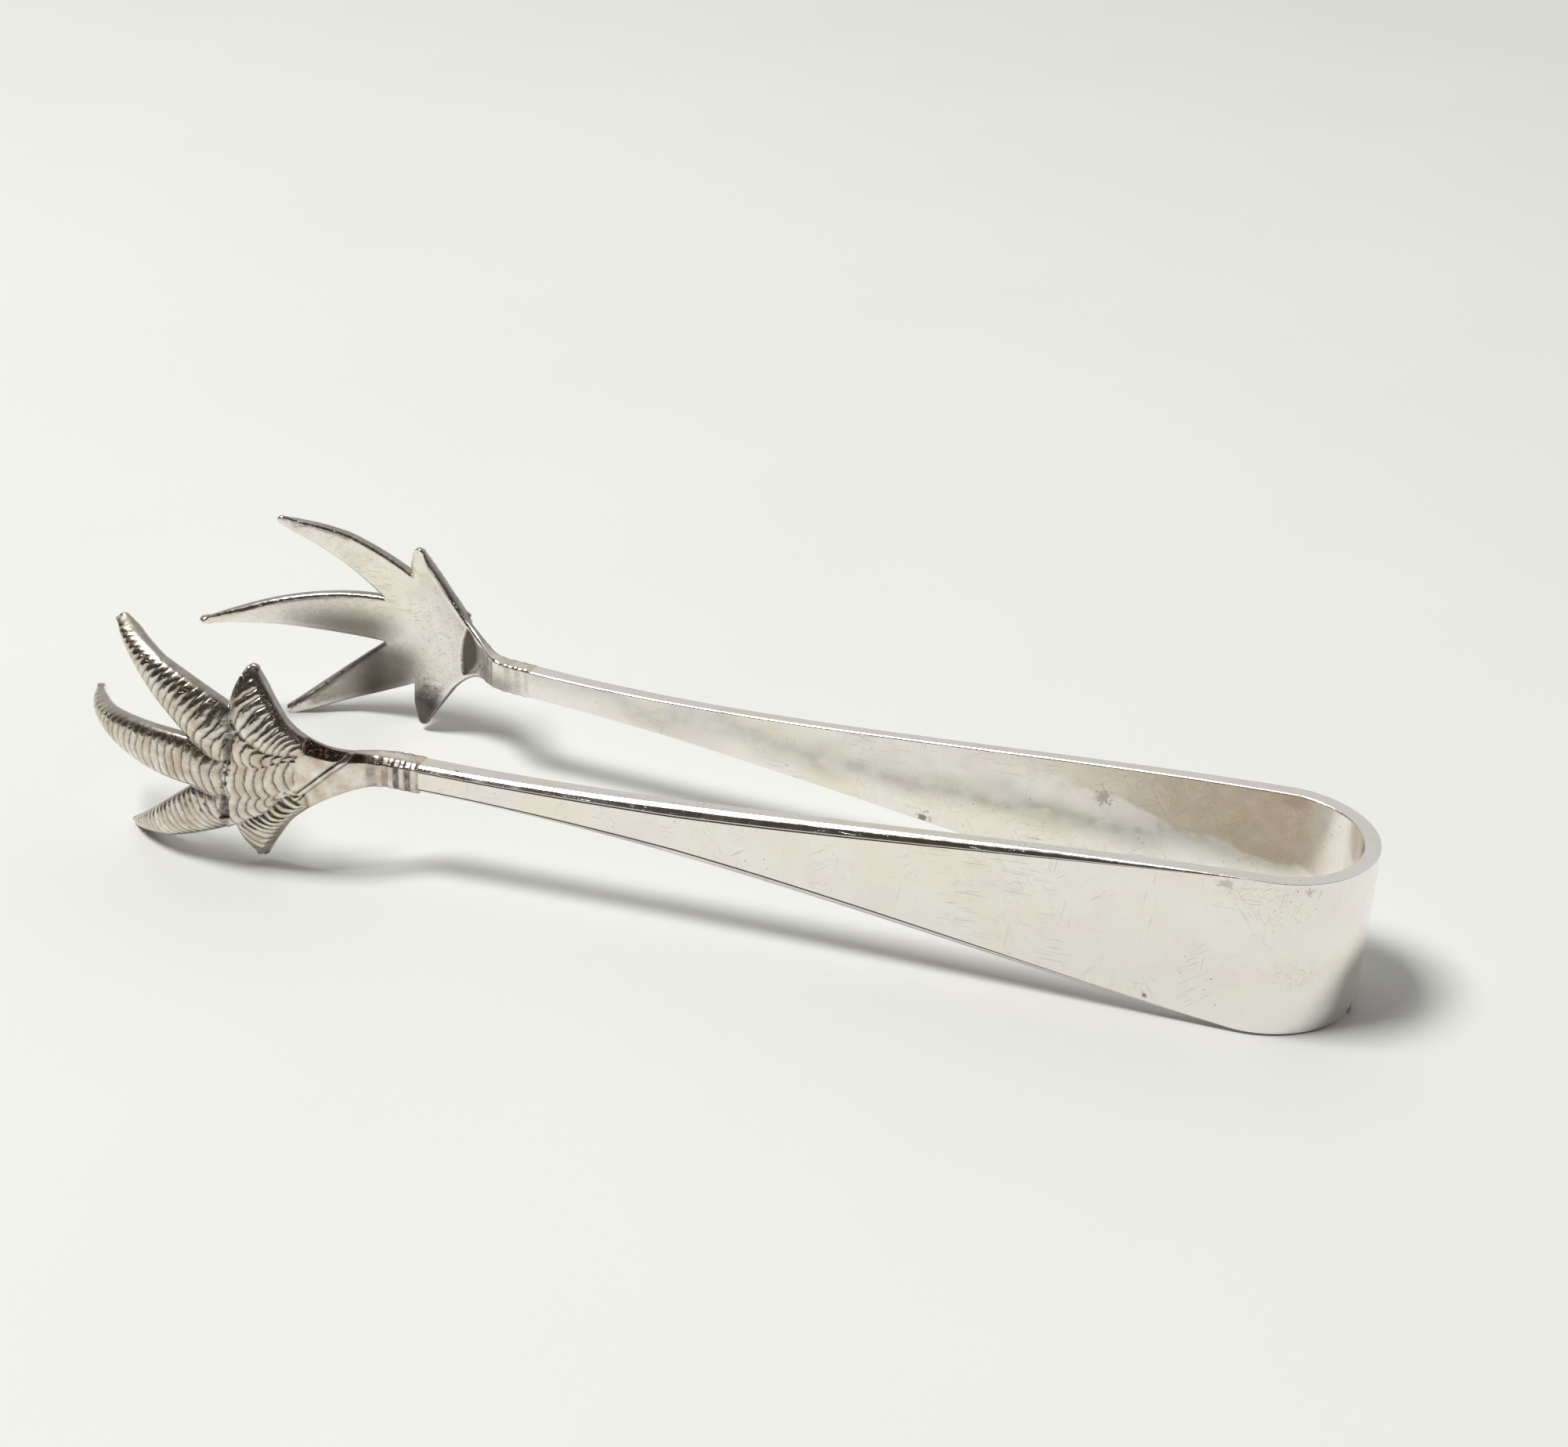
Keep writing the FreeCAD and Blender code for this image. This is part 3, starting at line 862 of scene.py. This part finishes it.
class Nodes:
    """Short names for the shader nodes that the silver is made of."""

    def __init__(self, name):
        self.material = bpy.data.materials.new(name)
        self.material.use_nodes = True
        self.tree = self.material.node_tree
        self.tree.nodes.clear()
        self.shader = self.tree.nodes.new("ShaderNodeBsdfPrincipled")
        output = self.tree.nodes.new("ShaderNodeOutputMaterial")
        self.tree.links.new(self.shader.outputs["BSDF"], output.inputs["Surface"])

    def put(self, socket, value):
        if isinstance(value, bpy.types.NodeSocket):
            self.tree.links.new(value, socket)
        else:
            socket.default_value = value

    def attribute(self, name, output="Fac"):
        node = self.tree.nodes.new("ShaderNodeAttribute")
        node.attribute_name = name
        return node.outputs[output]

    def math(self, operation, first, second=0.0, clamp=False):
        node = self.tree.nodes.new("ShaderNodeMath")
        node.operation = operation
        node.use_clamp = clamp
        self.put(node.inputs[0], first)
        self.put(node.inputs[1], second)
        return node.outputs[0]

    def times(self, first, second):
        return self.math("MULTIPLY", first, second)

    def stretch(self, vector, factors, turn):
        """Turns a vector and then scales it, so that a pattern follows the turned axes."""
        rotate = self.tree.nodes.new("ShaderNodeMapping")
        rotate.vector_type = "POINT"
        rotate.inputs["Rotation"].default_value = turn
        self.put(rotate.inputs["Vector"], vector)
        node = self.tree.nodes.new("ShaderNodeVectorMath")
        node.operation = "MULTIPLY"
        self.put(node.inputs[0], rotate.outputs[0])
        node.inputs[1].default_value = factors
        return node.outputs[0]

    def split(self, vector):
        node = self.tree.nodes.new("ShaderNodeSeparateXYZ")
        self.put(node.inputs[0], vector)
        return node.outputs

    def noise(self, vector, scale, detail, roughness=0.55):
        node = self.tree.nodes.new("ShaderNodeTexNoise")
        self.put(node.inputs["Vector"], vector)
        node.inputs["Scale"].default_value = scale
        node.inputs["Detail"].default_value = detail
        node.inputs["Roughness"].default_value = roughness
        return node.outputs[0]

    def cells(self, vector, scale):
        """Distance to the nearest of scattered points."""
        node = self.tree.nodes.new("ShaderNodeTexVoronoi")
        self.put(node.inputs["Vector"], vector)
        node.inputs["Scale"].default_value = scale
        return node.outputs["Distance"]

    def spot(self, vector, centre, radius):
        """1 within a ragged patch round a point."""
        node = self.tree.nodes.new("ShaderNodeVectorMath")
        node.operation = "DISTANCE"
        self.put(node.inputs[0], vector)
        node.inputs[1].default_value = centre
        ragged = self.between(self.noise(vector, 1.9, 4.0, 0.7), 0.3, 0.7, 0.5, 2.2)
        away = self.times(node.outputs["Value"], ragged)
        return self.between(away, radius, SPOT_CORE * radius)

    def between(self, value, low, high, to_low=0.0, to_high=1.0):
        """Smooth step of a value from low to high, given out from to_low to to_high."""
        node = self.tree.nodes.new("ShaderNodeMapRange")
        node.interpolation_type = "SMOOTHSTEP"
        self.put(node.inputs["Value"], value)
        node.inputs["From Min"].default_value = low
        node.inputs["From Max"].default_value = high
        node.inputs["To Min"].default_value = to_low
        node.inputs["To Max"].default_value = to_high
        return node.outputs[0]

    def mix(self, share, first, second):
        node = self.tree.nodes.new("ShaderNodeMix")
        node.data_type = "RGBA"
        self.put(node.inputs[0], share)
        self.put(node.inputs[6], first)
        self.put(node.inputs[7], second)
        return node.outputs[2]

    def stain(self, colour, share, strength, stain_colour):
        """The colour with a stain over it, as strong as share times strength."""
        return self.mix(self.times(share, strength), colour, stain_colour)

    def bump(self, height, distance, normal=None):
        node = self.tree.nodes.new("ShaderNodeBump")
        node.inputs["Distance"].default_value = distance
        self.put(node.inputs["Height"], height)
        if normal is not None:
            self.put(node.inputs["Normal"], normal)
        return node.outputs[0]

    def hairlines(self, place, angle, stretch, low, mask_scale):
        """Fine scratches in one direction, in patches."""
        drawn_out = self.stretch(place, stretch, (0.0, angle, 0.0))
        lines = self.noise(drawn_out, 1.0, 2.0, 0.5)
        patches = self.between(self.noise(place, mask_scale, 2.0), 0.45, 0.62)
        return self.times(self.between(lines, low, low + 0.035), patches)

    def add_scratches(self, place, sets):
        """Hairlines in several directions: angle, stretch, threshold and scale of the patches."""
        total = 0.0
        for angle, stretch, low, mask_scale in sets:
            total = self.math("ADD", total, self.hairlines(place, angle, stretch, low, mask_scale))
        return self.math("MINIMUM", total, 1.0)

    def finish(self, colour, rough, normal):
        """Joins up the shader of a bare metal."""
        self.put(self.shader.inputs["Base Color"], colour)
        self.put(self.shader.inputs["Roughness"], rough)
        self.put(self.shader.inputs["Normal"], normal)
        self.shader.inputs["Metallic"].default_value = 1.0
        return self.material


SILVER = (0.905, 0.885, 0.85, 1)
SILVER_YELLOW = (0.90, 0.875, 0.765, 1)
SILVER_PINK = (0.895, 0.835, 0.82, 1)
TARNISH_TAN = (0.52, 0.41, 0.29, 1)
# dark colours of tarnish, which on the claws also paint the shade between the scales
TARNISH_AND_SHADE_DARK = (0.10, 0.088, 0.078, 1)
TARNISH_AND_SHADE_BLUE = (0.115, 0.12, 0.135, 1)
# colour of the painted dark reflections on the inner side, and of the darker scoop
INNER_REFLECTION_DARK = (0.105, 0.085, 0.07, 1)
# colour of the painted brown reflection on the shank's upper facet
FACET_REFLECTION_BROWN = (0.20, 0.10, 0.07, 1)
SPECK = (0.16, 0.13, 0.10, 1)

STRIP_TARNISH = 0.72        # strengths of the stains on the strip
CUT_TARNISH = 0.8
HAZE = 0.1
STRIP_SCRATCHES = 0.24
PITS = 0.7
FACET_REFLECTION_STRENGTH = 0.85           # painted brown reflection on the claws' upper facets
CLAW_SCRATCHES = 0.2
SPOT_CORE = 0.4             # a spot has its full strength within this share of its radius

WAVE_BUMP = 0.00035         # heights of the bumps, in metres
GRAIN_BUMP = 0.0000035
STRIP_SCRATCH_BUMP = 0.000005
HAMMER_BUMP = 0.00003
CLAW_SCRATCH_BUMP = 0.00001

BOW_BORDER_RISE = -0.17     # the tarnish's lower border, in Z per X
BOW_BORDER_WANDER = 7.0
CUT_TARNISH_FROM = -22.0    # tarnish shows in the cut lines from here on, and in full from the next X
CUT_TARNISH_FULL = -45.0

# Single marks on the strip: centre, radius and strength
STAINS = [
    ((-0.3, -2.6, -9.4), 1.1, 0.85),
    ((-106.2, -15.3, 1.9), 0.8, 0.8),
    ((-56.1, 11.1, -5.0), 1.2, 0.8),
    ((-33.8, 10.5, 3.5), 1.5, 0.5),
    ((-21.6, -12.1, -7.7), 0.5, 0.85),
    ((-14.3, -11.8, 8.3), 1.1, 0.35),
    ((-5.7, -10.0, 8.6), 0.7, 0.4),
]

# Scratches: direction, stretch of the noise, threshold and scale of the patches they come in
SCRATCH_SETS = [
    (0.05, (0.16, 5.0, 7.5), 0.64, 0.11),
    (0.62, (0.22, 5.0, 8.0), 0.655, 0.16),
    (-0.95, (0.25, 5.0, 8.5), 0.66, 0.13),
    (1.45, (0.2, 5.0, 7.0), 0.665, 0.19),
]


def blotched_silver(nodes, place):
    """Silver with faint yellow and pink cast in blotches."""
    yellow = nodes.between(nodes.noise(place, 0.09, 3.0), 0.42, 0.68)
    tilted = nodes.stretch(place, (1.0, 1.0, 1.6), (0.4, 0.0, 0.9))
    pink = nodes.between(nodes.noise(tilted, 0.13, 3.0), 0.48, 0.72)
    return nodes.mix(pink, nodes.mix(yellow, SILVER, SILVER_YELLOW), SILVER_PINK)


def specks(nodes, place, scale, size, mask_low):
    """Sparse dark pits."""
    dots = nodes.between(nodes.cells(place, scale), size, size * 0.45)
    patches = nodes.between(nodes.noise(place, 0.17, 2.0), mask_low, mask_low + 0.08)
    return nodes.times(dots, patches)


def bow_tarnish(nodes, place, inward):
    """Brown patch high on the inner face near the bow, with a sharp uneven lower border."""
    axes = nodes.split(place)
    wander = nodes.noise(place, 0.13, 2.0, 0.5)
    lower_border = nodes.math("ADD", axes["Z"], nodes.times(wander, BOW_BORDER_WANDER))
    rise = nodes.times(axes["X"], BOW_BORDER_RISE)
    high = nodes.between(nodes.math("SUBTRACT", lower_border, rise), 1.3, 2.1)
    fade_out = nodes.between(axes["X"], -50.0, -16.0)
    fade_in = nodes.between(axes["X"], -5.0, -10.0)
    inner_face = nodes.between(inward, 0.9, 0.98)
    far_side = nodes.between(axes["Y"], 0.5, 3.0)
    share = nodes.times(nodes.times(high, fade_out), nodes.times(inner_face, fade_in))
    uneven = nodes.between(nodes.noise(place, 0.3, 3.0), 0.3, 0.7, 0.8, 1.0)
    return nodes.times(nodes.times(share, uneven), far_side)


def make_strip_silver():
    """Polished strip: fine scratches, pits, blotches and tarnish inside near the bow."""
    nodes = Nodes("strip_silver")
    place = nodes.attribute("place", "Vector")
    inward = nodes.attribute("inward")
    scratches = nodes.add_scratches(place, SCRATCH_SETS)
    pits = specks(nodes, place, 0.85, 0.11, 0.54)
    tarnish = bow_tarnish(nodes, place, inward)
    cut = nodes.between(nodes.attribute("cut"), 0.2, 0.9)
    reach = nodes.between(nodes.split(place)["X"], CUT_TARNISH_FROM, CUT_TARNISH_FULL)
    haze = nodes.between(nodes.noise(place, 0.35, 5.0, 0.65), 0.5, 0.8)
    colour = blotched_silver(nodes, place)
    colour = nodes.stain(colour, tarnish, STRIP_TARNISH, TARNISH_TAN)
    colour = nodes.stain(colour, nodes.times(cut, reach), CUT_TARNISH, TARNISH_AND_SHADE_DARK)
    colour = nodes.stain(colour, haze, HAZE, TARNISH_TAN)
    colour = nodes.stain(colour, scratches, STRIP_SCRATCHES, SPECK)
    colour = nodes.stain(colour, pits, PITS, SPECK)
    for centre, radius, strength in STAINS:
        colour = nodes.stain(colour, nodes.spot(place, centre, radius), strength, SPECK)
    rough = nodes.between(nodes.noise(place, 0.5, 4.0), 0.3, 0.75, 0.13, 0.24)
    rough = nodes.math("ADD", rough, nodes.times(scratches, 0.1))
    rough = nodes.math("ADD", rough, nodes.times(tarnish, 0.12))
    waves = nodes.bump(nodes.noise(place, 0.085, 1.0), WAVE_BUMP)
    grain = nodes.bump(nodes.noise(place, 2.6, 3.0, 0.6), GRAIN_BUMP, waves)
    normal = nodes.bump(nodes.math("SUBTRACT", 1.0, scratches), STRIP_SCRATCH_BUMP, grain)
    return nodes.finish(colour, rough, normal)


def make_claw_silver():
    """Struck claw: bright worn ridges, grooves dark with tarnish and painted shade, and a smooth inner side
    with painted dark reflections.
    """
    nodes = Nodes("claw_silver")
    place = nodes.attribute("place", "Vector")
    dark = nodes.attribute("dark")
    brown = nodes.attribute("brown")
    struck = nodes.attribute("struck")
    scratches = nodes.add_scratches(place, SCRATCH_SETS[:3])
    film = nodes.between(nodes.noise(place, 0.5, 4.0, 0.6), 0.22, 0.72)
    film_share = nodes.between(struck, 0.1, 0.9, 0.2, 0.8)
    worn = nodes.between(nodes.noise(place, 1.7, 4.0, 0.6), 0.3, 0.7, 0.4, 0.0)
    worn = nodes.times(worn, nodes.between(struck, 0.1, 0.9))
    depth = nodes.math("MULTIPLY", dark, nodes.math("SUBTRACT", 1.0, worn), clamp=True)
    # one dark colour for tarnish and painted shade on the outer side and rim
    bluish = nodes.between(nodes.noise(place, 0.21, 2.0), 0.42, 0.6)
    tarnish_and_painted_shade = nodes.mix(bluish, TARNISH_AND_SHADE_DARK, TARNISH_AND_SHADE_BLUE)
    # the inner side takes the colour of its painted dark reflections
    tarnish_and_painted_shade = nodes.mix(nodes.between(struck, 0.3, 0.05), tarnish_and_painted_shade, INNER_REFLECTION_DARK)
    colour = blotched_silver(nodes, place)
    colour = nodes.stain(colour, film, film_share, TARNISH_TAN)
    colour = nodes.mix(depth, colour, tarnish_and_painted_shade)
    # painted brown reflection on the shank's upper facet
    colour = nodes.stain(colour, brown, FACET_REFLECTION_STRENGTH, FACET_REFLECTION_BROWN)
    colour = nodes.stain(colour, scratches, CLAW_SCRATCHES, SPECK)
    rough = nodes.between(nodes.noise(place, 1.2, 4.0), 0.3, 0.75, 0.13, 0.27)
    rough = nodes.math("ADD", rough, nodes.times(depth, 0.25))
    hammer = nodes.bump(nodes.noise(place, 1.4, 3.0, 0.6), HAMMER_BUMP)
    normal = nodes.bump(nodes.math("SUBTRACT", 1.0, scratches), CLAW_SCRATCH_BUMP, hammer)
    return nodes.finish(colour, rough, normal)


# ---------------------------------------------------------------- surroundings

FLOOR_HALF = 1.4
CAMERA_AIM = (-0.00691, 0.04125, 0.0)
CAMERA_AZIMUTH = radians(21.603)
CAMERA_ELEVATION = radians(25.931)
CAMERA_ROLL = radians(0.726)
CAMERA_DISTANCE = 0.34768
CAMERA_LENS = 57.69
SENSOR_WIDTH = 36.0
CLIP_START = 0.01
CLIP_END = 20
FLOOR_GREY = (0.79, 0.795, 0.775, 1)
FLOOR_PALE = (0.805, 0.808, 0.79, 1)
KEY_PLACE = (-0.85, -0.4, 2.0)
KEY_AIM = (-0.02, 0, 0)
KEY_SIDE = 0.72
KEY_POWER = 45.0
KEY_COLOUR = (1.0, 0.995, 0.975)
ROOM_NEAR = (0.05, 0.043, 0.036, 1)
ROOM_FAR = (0.64, 0.64, 0.62, 1)
ROOM_BLEND = (-0.25, 0.6)   # the room turns from near to far colour between these Y of a direction


def make_floor():
    nodes = Nodes("pale_floor")
    coordinates = nodes.tree.nodes.new("ShaderNodeTexCoord").outputs["Object"]
    patches = nodes.between(nodes.noise(coordinates, 9.0, 3.0), 0.3, 0.7)
    colour = nodes.mix(patches, FLOOR_GREY, FLOOR_PALE)
    nodes.put(nodes.shader.inputs["Base Color"], colour)
    nodes.shader.inputs["Roughness"].default_value = 0.5
    nodes.shader.inputs["Specular IOR Level"].default_value = 0.25
    mesh = bpy.data.meshes.new("floor")
    corners = [(-FLOOR_HALF, -FLOOR_HALF, 0), (FLOOR_HALF, -FLOOR_HALF, 0),
               (FLOOR_HALF, FLOOR_HALF, 0), (-FLOOR_HALF, FLOOR_HALF, 0)]
    mesh.from_pydata(corners, [], [(0, 1, 2, 3)])
    mesh.materials.append(nodes.material)
    floor = bpy.data.objects.new("floor", mesh)
    bpy.context.scene.collection.objects.link(floor)


def make_camera():
    """The viewing angle: direction and distance from a point on the floor, and a slight roll."""
    back = Vector((sin(CAMERA_AZIMUTH) * cos(CAMERA_ELEVATION),
                   -cos(CAMERA_AZIMUTH) * cos(CAMERA_ELEVATION),
                   sin(CAMERA_ELEVATION)))
    data = bpy.data.cameras.new("camera")
    data.lens = CAMERA_LENS
    data.sensor_width = SENSOR_WIDTH
    data.clip_start = CLIP_START
    data.clip_end = CLIP_END
    camera = bpy.data.objects.new("camera", data)
    camera.location = Vector(CAMERA_AIM) + back * CAMERA_DISTANCE
    turn = (-back).to_track_quat("-Z", "Y").to_matrix()
    right, up = turn.col[0], turn.col[1]
    rolled_right = cos(CAMERA_ROLL) * right + sin(CAMERA_ROLL) * up
    rolled_up = -sin(CAMERA_ROLL) * right + cos(CAMERA_ROLL) * up
    for row in range(3):
        turn[row][0] = rolled_right[row]
        turn[row][1] = rolled_up[row]
    camera.rotation_euler = turn.to_euler()
    bpy.context.scene.collection.objects.link(camera)
    bpy.context.scene.camera = camera


def add_key_light():
    """One large softbox, high on the claws' side."""
    data = bpy.data.lights.new("key", "AREA")
    data.shape = "RECTANGLE"
    data.size = KEY_SIDE
    data.size_y = KEY_SIDE
    data.energy = KEY_POWER
    data.color = KEY_COLOUR
    light = bpy.data.objects.new("key", data)
    light.location = KEY_PLACE
    aim = Vector(KEY_AIM) - Vector(KEY_PLACE)
    light.rotation_euler = aim.to_track_quat("-Z", "Y").to_euler()
    light.visible_camera = False
    bpy.context.scene.collection.objects.link(light)


def make_world():
    """Room that is pale on the far side and dim and warm on the viewer's side."""
    world = bpy.data.worlds.new("room")
    world.use_nodes = True
    tree = world.node_tree
    tree.nodes.clear()
    output = tree.nodes.new("ShaderNodeOutputWorld")
    background = tree.nodes.new("ShaderNodeBackground")
    tree.links.new(background.outputs[0], output.inputs["Surface"])
    direction = tree.nodes.new("ShaderNodeTexCoord").outputs["Generated"]
    axes = tree.nodes.new("ShaderNodeSeparateXYZ")
    tree.links.new(direction, axes.inputs[0])
    ramp = tree.nodes.new("ShaderNodeMapRange")
    ramp.interpolation_type = "SMOOTHSTEP"
    tree.links.new(axes.outputs["Y"], ramp.inputs["Value"])
    ramp.inputs["From Min"].default_value = ROOM_BLEND[0]
    ramp.inputs["From Max"].default_value = ROOM_BLEND[1]
    mix = tree.nodes.new("ShaderNodeMix")
    mix.data_type = "RGBA"
    tree.links.new(ramp.outputs[0], mix.inputs[0])
    mix.inputs[6].default_value = ROOM_NEAR
    mix.inputs[7].default_value = ROOM_FAR
    tree.links.new(mix.outputs[2], background.inputs["Color"])
    background.inputs["Strength"].default_value = 1.0
    bpy.context.scene.world = world


# ---------------------------------------------------------------- assembly

SPINE = spine_table()

make_camera()
strip_silver = make_strip_silver()
claw_silver = make_claw_silver()

bow_band = make_bow(strip_silver)
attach(bow_band, "bow")
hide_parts("bow_spring")

hinge_x = STRAIGHT_END_X - FLEX_RUN
blend_reach = FLEX_RUN - BLEND_CLEARANCE
claw_mesh = make_claw_mesh()
for side, is_near in (("far", False), ("near", True)):
    arm = make_arm(side + "_strip", is_near, strip_silver)
    ends = to_row_frame(np.array([(hinge_x + blend_reach, 0, 0), (hinge_x - blend_reach, 0, 0)]))
    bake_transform(arm, "bow", side, start=tuple(ends[0]), end=tuple(ends[1]))
    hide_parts(side + "_arm")
    claw = add_piece(side + "_claw_struck", *claw_mesh[:2], is_near, claw_mesh[2], claw_silver)
    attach(claw, side)
    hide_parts(side + "_claw")

make_floor()
add_key_light()
make_world()
bpy.context.scene.view_settings.view_transform = "Standard"
